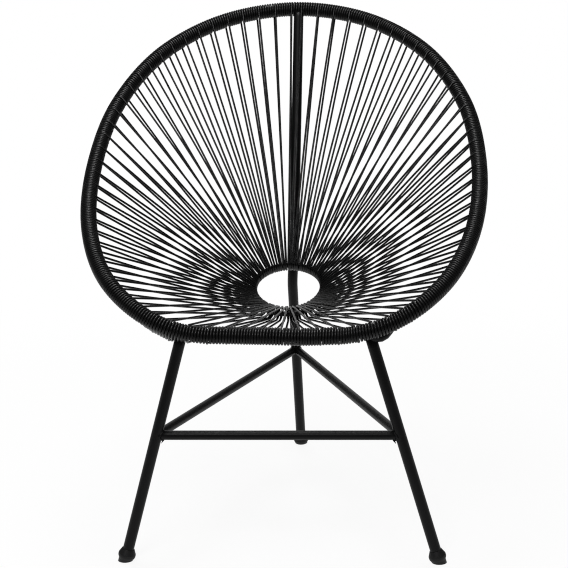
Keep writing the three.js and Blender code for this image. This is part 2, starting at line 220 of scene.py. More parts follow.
# %% [markdown]
# ## The rim's centre line
#
# The rim is one tube bent to an egg-shaped ring that rises from the front of the seat to its top.
# Half of it is a list of twelve places, as shares of the half width, the depth and the rise, and
# the other half is their mirror image. The places were read off a curve that a program fitted to
# the photograph, together with the camera. A smooth curve through them could come from Blender's
# own curve objects, but the cord has to know its place to a tenth of a millimetre, so the curve is
# worked out here with the same spline as the CAD part. The photographed rim sags a few
# millimetres at its front, right of the middle, and that is laid on the curve afterwards.

# %% Sizes of the rim, in metres
SEAT_WIDTH = 0.720
SEAT_DEPTH = 0.720
RIM_FRONT_HEIGHT = 0.4115
RIM_TOP_HEIGHT = 0.879
TUBE_RADIUS = 0.0095
CORD_RADIUS = 0.0021
FIT_GAP = 0.0003
WOUND_RADIUS = TUBE_RADIUS + FIT_GAP + 2 * CORD_RADIUS

# Half of the rim, from the front middle to the top middle: across as a share of the half width,
# back as a share of the depth, up as a share of the rise
RIM_OUTLINE = (
    (0, 0, 0),
    (0.206, 0.001, -0.001),
    (0.369, 0, 0.004),
    (0.52, 0.002, 0.033),
    (0.675, 0.028, 0.088),
    (0.832, 0.102, 0.172),
    (0.958, 0.259, 0.302),
    (0.999, 0.484, 0.483),
    (0.928, 0.692, 0.678),
    (0.719, 0.853, 0.85),
    (0.395, 0.959, 0.961),
    (0, 1, 1),
)

# The front sags by this much, most at this place across, and over this far to each side of it
SAG = 0.0028
SAG_MIDDLE = 0.040
SAG_HALF_WIDTH = 0.120
rim_half_width = SEAT_WIDTH / 2 - WOUND_RADIUS
rim_rise = RIM_TOP_HEIGHT - RIM_FRONT_HEIGHT
rim_front = -SEAT_DEPTH / 2


# %% Draw the rim's centre line
def spline_span(before, start, end, after, steps):
    """Places on a centripetal Catmull-Rom span from start towards end."""
    gaps = [math.sqrt(np.linalg.norm(b - a)) for a, b in
            ((before, start), (start, end), (end, after))]
    leave = (start - before) / gaps[0] - (end - before) / (gaps[0] + gaps[1])
    leave = (leave + (end - start) / gaps[1]) * gaps[1]
    arrive = (end - start) / gaps[1] - (after - start) / (gaps[1] + gaps[2])
    arrive = (arrive + (after - end) / gaps[2]) * gaps[1]
    t = np.linspace(0, 1, steps, endpoint=False)[:, None]
    bend = -3 * start + 3 * end - 2 * leave - arrive
    twist = 2 * start - 2 * end + leave + arrive
    return start + leave * t + bend * t**2 + twist * t**3


def rim_ring(steps_per_span=200):
    half = [np.array((across * rim_half_width, rim_front + back * SEAT_DEPTH,
                      RIM_FRONT_HEIGHT + up * rim_rise)) for across, back, up in RIM_OUTLINE]
    mirror = np.array((-1, 1, 1))
    posts = half + [post * mirror for post in reversed(half[1:-1])]
    count = len(posts)
    spans = [spline_span(posts[i - 1], posts[i], posts[(i + 1) % count], posts[(i + 2) % count],
                         steps_per_span) for i in range(count)]
    ring = np.vstack(spans)
    aside = np.clip((ring[:, 0] - SAG_MIDDLE) / SAG_HALF_WIDTH, -1, 1)
    ring[:, 2] -= SAG * np.cos(aside * math.pi / 2)**2 * (ring[:, 1] < 0)
    return np.vstack([ring, ring[:1]])


rim_places = rim_ring()
rim_steps = np.linalg.norm(np.diff(rim_places, axis=0), axis=1)
rim_reach = np.concatenate([[0], np.cumsum(rim_steps)])
rim_length = rim_reach[-1]
rim_low, rim_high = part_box("rim_tube")
print("length of the rim in metres:", round(rim_length, 4))
print("its top in the frame:", round(rim_high.z, 4), "and on this line:",
      round(rim_places[:, 2].max() + TUBE_RADIUS, 4))

# %% [markdown]
# ## Places along the cord's path
#
# The cord needs to know, for any share of the way round the rim, where the tube's middle is, which
# way it runs and which way is away from the bowl. The same three things are needed on the small
# ring. Two short functions answer both, so that every turn and every strand is made from them.

# %% Places on the rim
FULL_TURN = 2 * math.pi
HUB_RADIUS = 0.0685
HUB_ROD_RADIUS = 0.005
HUB_SETBACK = 0.362
HUB_HEIGHT = 0.399
HUB_TILT = math.radians(27)
LOOK_AHEAD = 0.0005
hub_centre = np.array((0, rim_front + HUB_SETBACK, HUB_HEIGHT))
seat_rake = math.atan2(rim_rise, SEAT_DEPTH)
sitter_side = np.array((0, -math.sin(seat_rake), math.cos(seat_rake)))


def unit(vector):
    return vector / np.linalg.norm(vector)


def square_to(run, guide):
    """The part of guide that is square to run."""
    return unit(guide - run * np.dot(guide, run))


def on_rim(share):
    reach = (share % 1.0) * rim_length
    centre, ahead, behind = (
        np.array([np.interp((reach + shift) % rim_length, rim_reach, rim_places[:, axis])
                  for axis in range(3)]) for shift in (0, LOOK_AHEAD, -LOOK_AHEAD))
    run = unit(ahead - behind)
    return centre, run, square_to(run, centre - hub_centre)


def on_hub(share):
    turn = share * FULL_TURN - math.pi / 2
    across = np.array((1, 0, 0))
    back = np.array((0, math.cos(HUB_TILT), math.sin(HUB_TILT)))
    side = across * math.cos(turn) + back * math.sin(turn)
    run = -across * math.sin(turn) + back * math.cos(turn)
    return hub_centre + side * HUB_RADIUS, run, side


hub_low, hub_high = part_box("hub_ring")
print("width of the ring in the frame:", round(hub_high.x - hub_low.x, 4), "and here:",
      round(2 * (HUB_RADIUS + HUB_ROD_RADIUS), 4))

# %% [markdown]
# ## The rail behind the front edge
#
# A second tube lies close behind and under the front of the rim and takes the front legs. It hangs
# lower at the corners, where it swings out to the legs, and comes up to the rim again at its ends.
# Its two sides differ in the photograph: the left one reaches further round, and the right one
# hangs lower and leaves room for the winding between itself and the rim.

# %% The rail's middle line
# Places are metres across from the chair's middle: where the rail stops being straight, its corner
# over the leg, its end, and where the winding round both tubes ends. Drops are degrees below the
# level at which the rail hangs from the rim, and room is how far it stands off.
RAIL_MIDDLE_DROP = 10
RailSide = namedtuple("RailSide", "straight corner end corner_drop end_drop room double")
RAIL_SIDES = {-1: RailSide(0.120, 0.165, 0.214, 35, 25, 0.0, 0.210),
              1: RailSide(0.130, 0.170, 0.204, 50, 5, 0.0047, 0.106)}
rail_distance = 2 * TUBE_RADIUS + FIT_GAP
quarter = len(rim_places) // 4


def ease(start, end, share):
    held = min(max(share, 0), 1)
    return start + (end - start) * held * held * (3 - 2 * held)


def reach_at(across):
    """How far round from the front middle the rim is this far to the side."""
    return np.interp(abs(across), rim_places[:quarter, 0], rim_reach[:quarter])


def rail_offset(centre, run):
    """From the rim's middle line to the rail's, at one place."""
    across = abs(centre[0])
    bend = RAIL_SIDES[1 if centre[0] > 0 else -1]
    to_corner = (across - bend.straight) / (bend.corner - bend.straight)
    to_end = (across - bend.corner) / (bend.end - bend.corner)
    drop = math.radians(ease(ease(RAIL_MIDDLE_DROP, bend.corner_drop, to_corner),
                             bend.end_drop, to_end))
    room = ease(0, bend.room, (across - bend.double) / (bend.straight - bend.double))
    towards = square_to(run, np.array((0, math.cos(drop), -math.sin(drop))))
    return towards * (rail_distance + room)


def rail_place(across):
    centre, run, _ = on_rim(math.copysign(reach_at(across), across) / rim_length)
    return centre + rail_offset(centre, run)


# %% [markdown]
# The cord is wound round the rim and the rail at once, so each turn there has to know how far away
# the rail is and in which direction. On the left the winding holds the rail right up to its end.
# On the right it lets go early, and the bare, painted rail shows with the leg welded under it.

# %% How far the winding reaches for the rail
LET_GO = 0.006


def rail_pull(share):
    """From the rim's middle to the rail's where the winding holds both, and nothing elsewhere."""
    from_front = (share - round(share)) * rim_length
    side = 1 if from_front > 0 else -1
    past = abs(from_front) - reach_at(RAIL_SIDES[side].double)
    hold = ease(1, 0, past / LET_GO)
    if hold == 0:
        return None
    centre, run, _ = on_rim(share)
    return rail_offset(centre, run) * hold


print("the winding round both tubes ends this far out:",
      {side: bend.double for side, bend in RAIL_SIDES.items()})

# %% [markdown]
# ## The cord's path
#
# On the real chair one cord does everything. It winds round the rim, leaves it on the sitter's
# side, runs straight to the ring, goes over it through the hole, comes back behind and winds on.
# Ready-made arrays of strands would leave their ends in the air. Following the cord's own path
# with one long list of points gives every turn, strand and loop its true place, each one tangent
# to the winding that it leaves.

# %% Where the strands stand
STATIONS = 80

# How far the strands have come round one side of the rim: the share of that side's strands, and
# the share of its length
STRINGING = ((0, 0), (0.165, 0.1603), (0.3525, 0.319), (1, 1.005))

# How far a strand that is strung by hand strays, in metres: along the rim, along the ring, and
# the lean of its loop over the ring
HAND_WOBBLE = 0.0009
CROWDING = 0.0018
LOOP_LEAN = 0.001
luck = random.Random(7)
wobbles = [luck.uniform(-1, 1) * HAND_WOBBLE for _ in range(STATIONS)]
crowding = {layer: [luck.uniform(-1, 1) * CROWDING for _ in range(STATIONS)] for layer in (1, -1)}

# How far the strands stand off their even places, in millimetres, at eight places round the seat
# from its front middle: along the rim, and along the ring. A program found most of these numbers
# by matching the strands with the photographed ones, and five of them were changed afterwards.
RIM_DRIFT_MM = (-4, -6, 2, 2, -3, -7, 8, 0)
HUB_DRIFT_MM = (-1, 3, 4, 3, 0, -4, -3, -4)


def drift(station, drifts_mm):
    """A smooth wave through the drifts, at one station, in metres."""
    place = (station + 0.5) / STATIONS * len(drifts_mm)
    first = math.floor(place)
    before, here, after, beyond = (drifts_mm[(first + shift) % len(drifts_mm)]
                                   for shift in (-1, 0, 1, 2))
    t = place - first
    bend = 2 * before - 5 * here + 4 * after - beyond
    twist = 3 * (here - after) + beyond - before
    return (here + ((after - before) * t + bend * t**2 + twist * t**3) / 2) / 1000


def station_share(station):
    """The share of the way round the rim at which a station's strands leave it."""
    even = (station + 0.5) / STATIONS
    nearest = round(even)
    side = 1 if even > nearest else -1
    strung, gone = zip(*STRINGING)
    reach = np.interp(abs(even - nearest) * 2, strung, gone) / 2
    moved = drift(station, RIM_DRIFT_MM) + wobbles[station % STATIONS]
    return nearest + side * reach + moved / rim_length


def hub_share(station, layer):
    """The share of the way round the ring at which a strand of the front or rear layer meets it."""
    moved = drift(station, HUB_DRIFT_MM) + layer * LOOP_LEAN + crowding[layer][station]
    return (station + 0.5) / STATIONS + moved / (FULL_TURN * HUB_RADIUS)


spacing = (station_share(STATIONS // 4) - station_share(STATIONS // 4 - 1)) * rim_length
print("strands on the side of the rim stand", round(spacing * 1000, 1), "mm apart")

# %% [markdown]
# A turn of cord is a circle round the tube, and it is drawn in the plane that is square to the
# tube: the angle starts on the side away from the bowl and turns towards the sitter. Where the
# rail lies beside the rim, the turn stretches over it like a belt over two pulleys.

# %% One point of a turn
wind_radius = TUBE_RADIUS + FIT_GAP + CORD_RADIUS
hub_wind_radius = HUB_ROD_RADIUS + FIT_GAP + CORD_RADIUS

# The cord's radius where it is pulled taut and where it is laid in a turn, and how softly the
# belt leaves the round of the rim
TAUT_RADIUS = 0.00192
LAID_RADIUS = 0.00236
BELT_SOFTNESS = 0.3


def turn_axes(run, side):
    up = np.cross(run, side)
    return side, up * (1 if np.dot(up, sitter_side) > 0 else -1)


def belt(normal, pull):
    """How far a point of the turn that faces along normal is carried over to the rail."""
    if pull is None:
        return 0
    leaning = np.dot(normal, unit(pull))
    return pull * ease(0, 1, (leaning / BELT_SOFTNESS + 1) / 2)


def rim_point(share, angle, climb=0):
    centre, run, side = on_rim(share)
    out, up = turn_axes(run, side)
    normal = out * math.cos(angle) + up * math.sin(angle)
    return centre + normal * (wind_radius + climb) + belt(normal, rail_pull(share))


print("metres across the wound rim:", round(2 * (wind_radius + CORD_RADIUS), 4))

# %% [markdown]
# Most strands do not leave the rim square to it. They slant over the turns beside their own, and
# so they ride on top of them, a little further out than the winding: the more they slant, the
# higher. On the ring the strands crowd together and ride higher still. That is why the two layers
# stand well apart in the photograph.

# %% Where a strand leaves the rim and meets the ring
# How far out a strand rides at its two ends, and the slant at which it rides highest on the rim
RIM_RIDE = 0.0025
HUB_RIDE = 0.0054
FULL_SLANT = 0.5
TRIES = 3
Strand = namedtuple("Strand", "start end rim_normal hub_normal ride")


def facing(run, along, layer):
    """Square to the strand and to the tube, on the sitter's side (1) or behind (-1)."""
    square = unit(np.cross(run, along))
    return square * (layer if np.dot(square, sitter_side) > 0 else -layer)


def strand_ends(rim_share, ring_share, layer):
    rim_centre, rim_run, _ = on_rim(rim_share)
    hub_middle, hub_run, _ = on_hub(ring_share)
    pull = rail_pull(rim_share)
    start, end = rim_centre, hub_middle
    for _ in range(TRIES):
        run = unit(end - start)
        rim_normal = facing(run, rim_run, layer)
        hub_normal = facing(run, hub_run, layer)
        ride = RIM_RIDE * min(abs(np.dot(run, rim_run)) / FULL_SLANT, 1)
        start = rim_centre + rim_normal * (wind_radius + ride) + belt(rim_normal, pull)
        end = hub_middle + hub_normal * (hub_wind_radius + HUB_RIDE)
    return Strand(start, end, rim_normal, hub_normal, ride)


def angle_of(normal, axes):
    return math.atan2(np.dot(normal, axes[1]), np.dot(normal, axes[0])) % FULL_TURN


sample = strand_ends(station_share(0), hub_share(0, 1), 1)
print("the first strand is", round(float(np.linalg.norm(sample.end - sample.start)), 3),
      "metres long")


# %% [markdown]
# The winding between two stations has a whole number of turns, close to the cord's own thickness
# apart. The trip to the ring takes the place of the inner half of one turn, so the winding runs on
# after it as if nothing had happened. The cord is soft: pulled taut to the ring it stretches thin,
# and laid in a turn it spreads until it touches the turns beside it. So every point of the path
# carries a fourth number, the cord's radius there.

# %% One trip from the rim to the ring and back
TURN_PITCH = 0.0048
POINTS_PER_LOOP = 12
quarter_pitch = TURN_PITCH / rim_length / 4


def trip_to_ring(station):
    """The strand to the ring on the sitter's side, the loop over it, and the strand back."""
    shares = hub_share(station, 1), hub_share(station, -1)
    there = strand_ends(station_share(station) - quarter_pitch, shares[0], 1)
    back = strand_ends(station_share(station) + quarter_pitch, shares[1], -1)
    loop = []
    for step in np.linspace(0, 1, POINTS_PER_LOOP + 1):
        centre, run, side = on_hub(shares[0] + (shares[1] - shares[0]) * step)
        axes = turn_axes(run, side)
        first, last = angle_of(there.hub_normal, axes), angle_of(back.hub_normal, axes)
        angle = first + (last - first) * step
        normal = axes[0] * math.cos(angle) + axes[1] * math.sin(angle)
        place = centre + normal * (hub_wind_radius + HUB_RIDE * (2 * step - 1)**2)
        loop.append((*place, ease(TAUT_RADIUS, LAID_RADIUS, 4 * min(step, 1 - step))))
    return there, loop, back


print("points in the loop over the ring:", len(trip_to_ring(0)[1]))

# %% Follow the whole cord
POINTS_PER_TURN = 26

# The shares of a turn in which the cord comes down from a strand's ride, and spreads as it is laid
CLIMB_TURN = 0.1
SPREAD_TURN = 0.08


def winding(first, last, come, leave):
    """The turns between two stations, from one strand's arrival to the next one's start."""
    shares = station_share(first) + quarter_pitch, station_share(last) - quarter_pitch
    turns = max(1, round((station_share(last) - station_share(first)) * rim_length / TURN_PITCH))
    _, run, side = on_rim(shares[0])
    start = angle_of(come.rim_normal, turn_axes(run, side)) - FULL_TURN
    _, run, side = on_rim(shares[1])
    stop = angle_of(leave.rim_normal, turn_axes(run, side)) + FULL_TURN * (turns - 1)
    steps = math.ceil((stop - start) / FULL_TURN * POINTS_PER_TURN)
    points = []
    for part in np.linspace(0, 1, steps + 1):
        from_strand = min(part, 1 - part) * (stop - start) / FULL_TURN
        ride = come.ride if part < 0.5 else leave.ride
        angle = start + (stop - start) * part
        place = rim_point(shares[0] + (shares[1] - shares[0]) * part, angle,
                          ease(ride, 0, from_strand / CLIMB_TURN))
        points.append((*place, ease(TAUT_RADIUS, LAID_RADIUS, from_strand / SPREAD_TURN)))
    return points, turns


def whole_cord():
    """The cord's path as a ring of points with radii, and the number of turns round the rim."""
    path, turns_made = [], 0
    trips = [trip_to_ring(station) for station in range(STATIONS)]
    for station, (there, loop, back) in enumerate(trips):
        following = trips[(station + 1) % STATIONS][0]
        turns, made = winding(station, station + 1, back, following)
        path += [(*there.start, TAUT_RADIUS), *loop, (*back.start, TAUT_RADIUS), *turns[1:-1]]
        turns_made += made
    return np.array(path), turns_made


cord_ring, turns_made = whole_cord()
print("points along the cord:", len(cord_ring))

# %% [markdown]
# The path closes on itself, and a real cord has two ends. They are tucked in where nobody looks:
# at the place that lies furthest back, behind the top of the rim.

# %% Tuck in the two ends
behind_top = int(np.argmax(cord_ring[:, 1]))
cord_path, cord_radii = np.split(np.roll(cord_ring, -behind_top, axis=0), [3], axis=1)
cord_length = np.linalg.norm(np.diff(cord_path, axis=0), axis=1).sum()
print("turns round the rim:", turns_made, "and metres of cord:", round(cord_length, 1))

# %% [markdown]
# ## Give the cord its thickness
#
# A Blender curve with a bevel would do for a short cord, but its rings twist where the path turns
# quickly. Here each ring of points is carried on from the one before, turned no more than the
# path itself turns, which keeps the lines along the cord straight. The same helper makes the
# frame's tubes.

# %% Sweep a ring of points along a path
def sweep_rings(path, radii, sides):
    """Rings of points round a path, of one radius or of a radius for each point."""
    legs = np.diff(path, axis=0)
    legs /= np.linalg.norm(legs, axis=1)[:, None]
    runs = np.vstack([legs[:1], legs[:-1] + legs[1:], legs[-1:]])
    runs /= np.linalg.norm(runs, axis=1)[:, None]
    guide = np.eye(3)[int(np.argmin(abs(runs[0])))]
    side = square_to(runs[0], guide)
    sides_out = np.empty_like(path)
    for index, run in enumerate(runs):
        side = side - run * (side @ run)
        side /= math.sqrt(side @ side)
        sides_out[index] = side
    ups = np.cross(runs, sides_out)
    angles = np.linspace(0, FULL_TURN, sides, endpoint=False)
    round_out = np.cos(angles)[None, :, None] * sides_out[:, None, :]
    round_up = np.sin(angles)[None, :, None] * ups[:, None, :]
    return path[:, None, :] + np.reshape(radii, (-1, 1, 1)) * (round_out + round_up)


def skin_rings(name, rings, finish):
    """A closed tube through the rings, with a map that runs along it and round it."""
    count, sides, _ = rings.shape
    ring = np.arange(count - 1)[:, None] * sides
    place = np.arange(sides)[None, :]
    ahead = (place + 1) % sides
    quads = np.stack([ring + place, ring + ahead, ring + sides + ahead, ring + sides + place], 2)
    faces = quads.reshape(-1, 4).tolist()
    last = (count - 1) * sides
    faces += [list(range(sides - 1, -1, -1)), list(range(last, last + sides))]
    mesh = bpy.data.meshes.new(name)
    mesh.from_pydata(rings.reshape(-1, 3).tolist(), [], faces)
    middles = rings.mean(axis=1)
    along = np.concatenate([[0], np.cumsum(np.linalg.norm(np.diff(middles, axis=0), axis=1))])
    start, stop = along[:-1, None] + 0 * place, along[1:, None] + 0 * place
    low, high = (place + 0 * ring) / sides, (place + 1 + 0 * ring) / sides
    corners = np.stack([np.stack(pair, 2) for pair in
                        ((start, low), (start, high), (stop, high), (stop, low))], 2)
    flat = np.vstack([corners.reshape(-1, 2), np.zeros((2 * sides, 2))])
    layer = mesh.uv_layers.new(name="along_and_round")
    layer.data.foreach_set("uv", flat.astype(np.float32).ravel())
    smooth = np.ones(len(mesh.polygons), bool)
    smooth[-2:] = False
    mesh.polygons.foreach_set("use_smooth", smooth)
    mesh.materials.append(finish)
    piece = bpy.data.objects.new(name, mesh)
    bpy.context.scene.collection.objects.link(piece)
    return piece


# %% The strung cord
CORD_SIDES = 8
seat_cord = skin_rings("seat_cord", sweep_rings(cord_path, cord_radii, CORD_SIDES), cord_finish)
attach(seat_cord, "root")
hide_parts(*(name for name in nodes if name.startswith("seat_cord")))
print("faces on the cord:", len(seat_cord.data.polygons))

# %% [markdown]
# ## The tubes of the frame
#
# The rail follows the line that was worked out above. Two front legs splay out from it, a bent
# tube makes the rear leg and the spine of the back in one, and a crossbar and two stretchers tie
# the three legs together. They are plain round tubes, so each is a ring swept along its middle
# line. The CAD part leaves a hair's gap at every joint, and here the tubes run into one another,
# and in the brace a weld bead closes each corner.

# %% Middle lines of the legs
# Spreads reach from side to side, setbacks from the front of the seat, and heights from the floor
FRONT_FOOT_SPREAD = 0.538
FRONT_FOOT_SETBACK = 0.040
LEG_TOP_SPREAD = 0.304
REAR_FOOT_SETBACK = 0.655
REAR_BEND_SETBACK = 0.465
REAR_BEND_HEIGHT = 0.410
REAR_BEND_RADIUS = 0.080
BRACE_HEIGHT = 0.231
SPINE_BEND_ASIDE = 0.0035
SPINE_TOP_ASIDE = 0.0075
CROSSBAR_RADIUS = 0.008
STRETCHER_RADIUS = 0.00775
CAP_FLOOR = 0.008


def at_height(low, high, height):
    return low + (high - low) * (height - low[2]) / (high[2] - low[2])


def front_leg_line(side):
    foot = np.array((side * FRONT_FOOT_SPREAD / 2, rim_front + FRONT_FOOT_SETBACK, 0))
    return foot, rail_place(side * LEG_TOP_SPREAD / 2)


def rear_leg_line(bend_steps=18):
    foot = np.array((0, rim_front + REAR_FOOT_SETBACK, 0))
    corner = np.array((0, rim_front + REAR_BEND_SETBACK, REAR_BEND_HEIGHT))
    top = np.array((0, rim_front + SEAT_DEPTH, RIM_TOP_HEIGHT))
    down, up = unit(foot - corner), unit(top - corner)
    half = math.acos(np.dot(down, up)) / 2
    start = corner + down * REAR_BEND_RADIUS / math.tan(half)
    centre = corner + unit(down + up) * REAR_BEND_RADIUS / math.sin(half)
    spoke, sweep = start - centre, math.pi - 2 * half
    forward = square_to(unit(spoke), corner - start)
    aside = np.array((1, 0, 0))
    bend = [centre + spoke * math.cos(turn) + forward * REAR_BEND_RADIUS * math.sin(turn)
            + aside * ease(0, SPINE_BEND_ASIDE, turn / sweep)
            for turn in np.linspace(0, sweep, bend_steps)]
    return foot, [*bend, top + aside * SPINE_TOP_ASIDE]


print("a front leg meets the rail at", [round(v, 3) for v in front_leg_line(1)[1].tolist()])

# %% Tubes
TUBE_SIDES = 32


def subdivide(points, longest=0.02):
    fine = [points[0]]
    for start, end in zip(points, points[1:]):
        steps = max(1, math.ceil(np.linalg.norm(end - start) / longest))
        fine += [start + (end - start) * step / steps for step in range(1, steps + 1)]
    return np.array(fine)


def frame_tube(name, points, radius):
    tube = skin_rings(name, sweep_rings(subdivide(points), radius, TUBE_SIDES), coat_finish)
    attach(tube, "root")
    return tube


def lift_foot(foot, towards):
    return foot + unit(towards - foot) * CAP_FLOOR


RAIL_STEPS = 60
rail_line = [rail_place(across) for across in
             np.linspace(-RAIL_SIDES[-1].end, RAIL_SIDES[1].end, RAIL_STEPS)]
rail = frame_tube("front_rail_tube", rail_line, TUBE_RADIUS)
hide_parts("front_rail")

brace_ends = {}
for side, word in ((-1, "left"), (1, "right")):
    foot, top = front_leg_line(side)
    leg = frame_tube(f"front_leg_tube_{word}", [lift_foot(foot, top), top], TUBE_RADIUS)
    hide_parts(f"front_leg_{word}")
    brace_ends[side] = at_height(foot, top, BRACE_HEIGHT)

rear_foot, rear_bend = rear_leg_line()
rear_line = [lift_foot(rear_foot, rear_bend[0]), *rear_bend]
rear_leg = frame_tube("rear_leg_tube", rear_line, TUBE_RADIUS)
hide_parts("rear_leg")
brace_rear = at_height(rear_foot, rear_bend[0], BRACE_HEIGHT)
crossbar = frame_tube("crossbar_tube", [brace_ends[-1], brace_ends[1]], CROSSBAR_RADIUS)
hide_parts("front_crossbar")
for side, word in ((-1, "left"), (1, "right")):
    stay = frame_tube(f"stretcher_tube_{word}", [brace_ends[side], brace_rear], STRETCHER_RADIUS)
    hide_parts(f"stretcher_{word}")
print("crossbar from leg to leg:", round(float(np.linalg.norm(brace_ends[1] - brace_ends[-1])), 3))

# %% [markdown]
# ## Weld beads
#
# A welder runs a bead of molten steel round each place where one tube ends against another. Its
# line is where the two round surfaces meet, which is a saddle-shaped ring. Rays along the smaller
# tube's surface find that line, and a small cord of metal, a little uneven, is swept along it.
# The six joints of the brace get one. Those at the rim and the rail have none, because the winding
# covers most of them.

# %% Lay a bead round a joint
BEAD_RADIUS = 0.0019
BEAD_SWELL = 0.16
BEAD_STEPS = 48
BEAD_SIDES = 10
bead_luck = random.Random(11)


def bead_line(start, towards, radius, main, main_run, main_radius):
    """Where a tube from start towards a thicker one meets that one's surface."""
    run = unit(towards - start)
    out = square_to(run, main_run)
    up = np.cross(run, out)
    line = []
    for turn in np.linspace(0, FULL_TURN, BEAD_STEPS, endpoint=False):
        edge = start + (out * math.cos(turn) + up * math.sin(turn)) * radius
        gap = edge - main
        flat_run = run - main_run * np.dot(run, main_run)
        flat_gap = gap - main_run * np.dot(gap, main_run)
        a, b = flat_run @ flat_run, 2 * flat_run @ flat_gap
        c = flat_gap @ flat_gap - main_radius**2
        reach = (-b - math.sqrt(max(b * b - 4 * a * c, 0))) / (2 * a)
        line.append(edge + run * reach)
    return np.array(line)


def weld_bead(name, *joint):
    line = bead_line(*joint)
    rings = sweep_rings(np.vstack([line, line[:2]]), BEAD_RADIUS, BEAD_SIDES)
    middles = rings.mean(axis=1, keepdims=True)
    swell = 1 + BEAD_SWELL * np.array([bead_luck.uniform(-1, 1) for _ in range(len(rings))])
    swell[-2:] = swell[:2]
    bead = skin_rings(name, middles + (rings - middles) * swell[:, None, None], coat_finish)
    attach(bead, "root")
    return bead


rear_run = unit(rear_bend[0] - rear_foot)
for side, word in ((-1, "left"), (1, "right")):
    foot, top = front_leg_line(side)
    leg_run = unit(top - foot)
    near, far = brace_ends[side], brace_ends[-side]
    weld_bead(f"crossbar_weld_{word}", (near + far) / 2, near, CROSSBAR_RADIUS, near, leg_run,
              TUBE_RADIUS)
    weld_bead(f"stretcher_weld_{word}", (near + brace_rear) / 2, near, STRETCHER_RADIUS, near,
              leg_run, TUBE_RADIUS)
    weld_bead(f"stretcher_rear_weld_{word}", (near + brace_rear) / 2, brace_rear,
              STRETCHER_RADIUS, brace_rear, rear_run, TUBE_RADIUS)

# %% [markdown]
# ## Foot caps
#
# A moulded cap sits on the end of each leg: it slopes out from the tube, bulges to a collar and
# draws in to a flat sole. It is round about the leg, not about the upright, so its half outline is
# turned round the leg's own line and the lot is cut off level with the floor.

# %% Turn the caps
CAP_STEPS = 48

# Half outline of a cap: out from the leg's line, and up along it from the floor
CAP_OUTLINE = (
    (0.0125, -0.004), (0.0125, 0.0036), (0.0127, 0.0046), (0.0146, 0.0086), (0.0149, 0.0096),
    (0.0150, 0.0106), (0.0150, 0.0132), (0.0148, 0.0142), (0.0143, 0.0151), (0.0108, 0.0228),
    (0.0102, 0.0236), (0.0094, 0.0240), (0.0087, 0.0238), (0.0086, 0.0200),
)


def foot_cap(name, foot, towards):
    lean = Vector((0, 0, 1)).rotation_difference(Vector(unit(towards - foot)))
    turn = Matrix.Translation(Vector(foot)) @ lean.to_matrix().to_4x4()
    rings = np.array([[turn @ Vector((radius * math.cos(a), radius * math.sin(a), height))
                       for a in np.linspace(0, FULL_TURN, CAP_STEPS, endpoint=False)]
                      for radius, height in CAP_OUTLINE])
    return skin_rings(name, rings, cap_finish)


def level_sole(cap):
    shape = bmesh.new()
    shape.from_mesh(cap.data)
    parts = shape.verts[:] + shape.edges[:] + shape.faces[:]
    cut = bmesh.ops.bisect_plane(shape, geom=parts, plane_co=(0, 0, 0), plane_no=(0, 0, 1),
                                 clear_inner=True)
    edges = [part for part in cut["geom_cut"] if isinstance(part, bmesh.types.BMEdge)]
    bmesh.ops.contextual_create(shape, geom=edges)
    bmesh.ops.recalc_face_normals(shape, faces=shape.faces)
    shape.to_mesh(cap.data)
    shape.free()


feet = {"left": front_leg_line(-1), "right": front_leg_line(1),
        "rear": (rear_foot, rear_bend[0])}
for word, (foot, towards) in feet.items():
    cap = foot_cap(f"foot_cap_moulding_{word}", foot, towards)
    level_sole(cap)
    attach(cap, "root")
    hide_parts(f"foot_cap_{word}")
    print("cap", word, "stands on", round(min(v.co.z for v in cap.data.vertices), 4))

# %% [markdown]
# ## Floor and light
#
# A black thing on white shows little but what it mirrors, so the floor and the room are made for
# two kinds of ray. The chair is lit by a room that is even on all sides, and by two lamps. The
# rays that mirror, which Blender calls glossy, see another room, which was tried out until its
# highlights looked like the photographed ones: white behind, dark on the camera's side, and a
# floor that is bright round the chair and dark far in front of it. A few helpers join the nodes
# that this takes.

# %% Helpers for the floor and the room


def rise(tree, source, start, end, low):
    """A number that rises softly from low, where the source is at start, to 1 at end."""
    step = add_node(tree, "ShaderNodeMapRange", {"interpolation_type": "SMOOTHSTEP"},
                    {"From Min": start, "From Max": end, "To Min": low})
    tree.links.new(source, step.inputs["Value"])
    return step.outputs["Result"]


def combine(tree, operation, first, second):
    maths = add_node(tree, "ShaderNodeMath", {"operation": operation})
    tree.links.new(first, maths.inputs[0])
    tree.links.new(second, maths.inputs[1])
    return maths.outputs[0]


def choose(tree, amount, off, on):
    """The number off where amount is 0 and on where it is 1. Either may come from a node."""
    switch = add_node(tree, "ShaderNodeMix")
    tree.links.new(amount, switch.inputs["Factor"])
    for key, value in (("A", off), ("B", on)):
        if isinstance(value, bpy.types.NodeSocket):
            tree.links.new(value, switch.inputs[key])
        else:
            switch.inputs[key].default_value = value
    return switch.outputs["Result"]


# %% [markdown]
# The floor is nearly white and holds the chair's own soft shadow. Far from the chair it fades
# into the white of the background, so no horizon shows. A plain white plane would be simpler, but
# then its edge would stand out as a grey line.

# %% How white the floor is
FADE_START = 0.3
FADE_END = 1.6
WHITE_NEAR = 0.9
DARK_SIDE = 0.09
DARK_FROM = -0.5
DARK_TO = -1.2


def floor_whiteness(tree, place, rays):
    """How much plain white covers the paint, for the rays that look at the floor."""
    far = add_node(tree, "ShaderNodeVectorMath", {"operation": "LENGTH"})
    tree.links.new(place, far.inputs[0])
    fade = rise(tree, far.outputs["Value"], FADE_START, FADE_END, WHITE_NEAR)
    seen = combine(tree, "MAXIMUM", rays.outputs["Is Camera Ray"], rays.outputs["Is Glossy Ray"])
    return combine(tree, "MULTIPLY", seen, fade)


